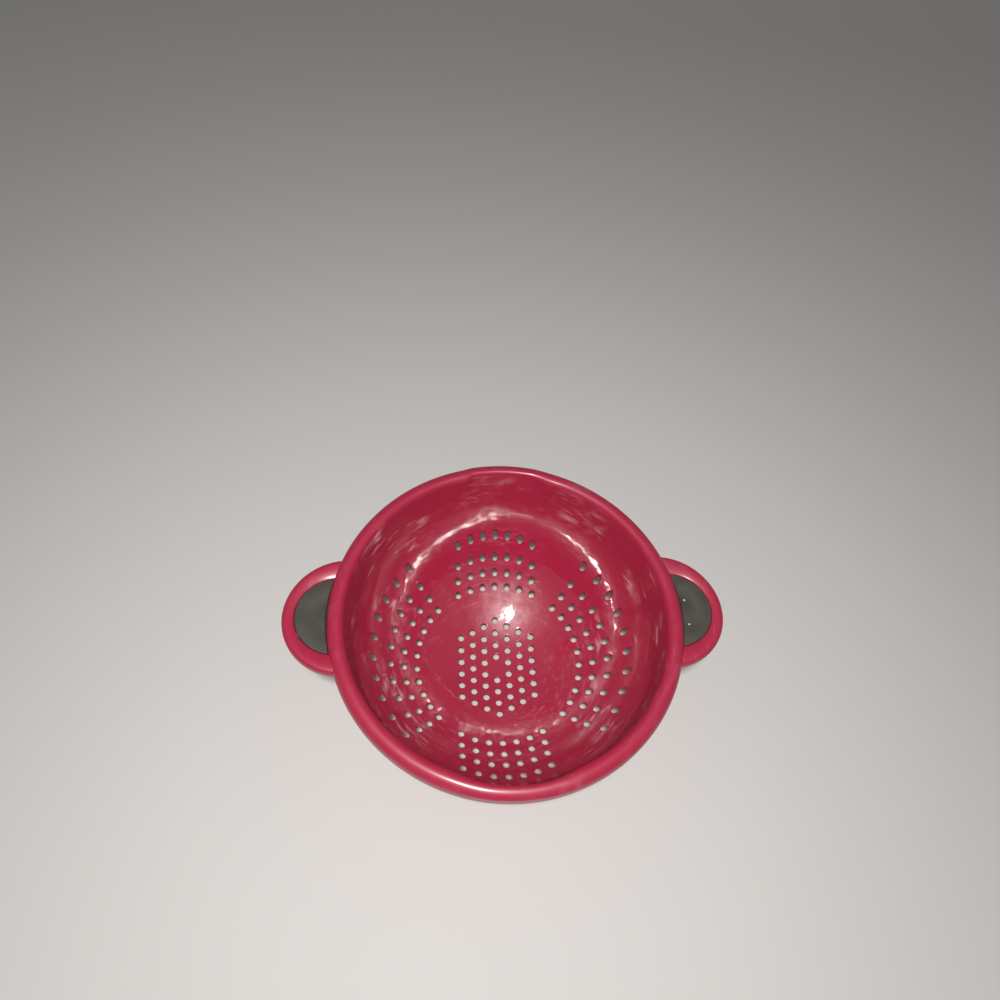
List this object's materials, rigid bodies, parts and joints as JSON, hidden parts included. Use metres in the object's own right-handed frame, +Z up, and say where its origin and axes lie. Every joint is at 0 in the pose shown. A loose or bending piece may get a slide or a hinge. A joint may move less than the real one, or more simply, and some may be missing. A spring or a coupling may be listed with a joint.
{
  "type": "colander",
  "caption": "Round kitchen colander: a deep bowl drilled in groups, a rolled-over rim, a loop handle with a soft grip on each side, and a notched foot ring.",
  "frame": {"origin": "on the table, under the middle of the bowl", "axes": "+X through the right-hand handle, +Y to the back of the bowl, +Z up out of the bowl's mouth"},
  "size_m": [0.3168, 0.2548, 0.1292],
  "materials": {
    "crimson_plastic": "glossy moulded plastic with fine wiping scratches",
    "grip_rubber": "matt soft-touch grey"
  },
  "bodies": {
    "root": {"bowl": "crimson_plastic", "rim": "crimson_plastic", "foot_ring": "crimson_plastic", "left_handle_loop": "crimson_plastic", "right_handle_loop": "crimson_plastic", "left_grip": "grip_rubber", "right_grip": "grip_rubber"}
  },
  "joints": []
}
